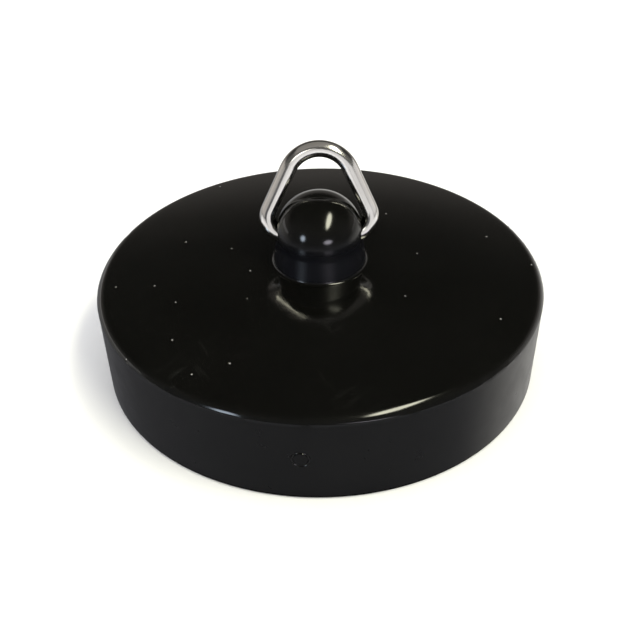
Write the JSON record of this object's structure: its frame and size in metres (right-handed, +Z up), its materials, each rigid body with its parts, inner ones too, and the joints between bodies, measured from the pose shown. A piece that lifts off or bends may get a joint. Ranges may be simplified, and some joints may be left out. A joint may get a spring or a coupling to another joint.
{
  "type": "sink plug",
  "caption": "Round tapered sink plug with a low domed top, a bullet knob in the middle and a triangular wire pull ring that swings in the knob.",
  "frame": {"origin": "middle of the open bottom, where the plug stands", "axes": "+Z up along the plug's axis, +X along the ring's hinge, -Y towards the front"},
  "size_m": [0.0454, 0.0454, 0.0238],
  "materials": {
    "black_plastic": "polished top and knob, satin side",
    "polished_steel": "bright polished wire"
  },
  "bodies": {
    "plug": {"plug_body": "black_plastic"},
    "ring": {"pull_ring": "polished_steel"}
  },
  "joints": [
    {"name": "ring_swing", "type": "hinge", "parent": "plug", "child": "ring", "pos_m": [0, 0, 0.0148], "axis": [1, 0, 0], "range_deg": [-86, 122]}
  ]
}
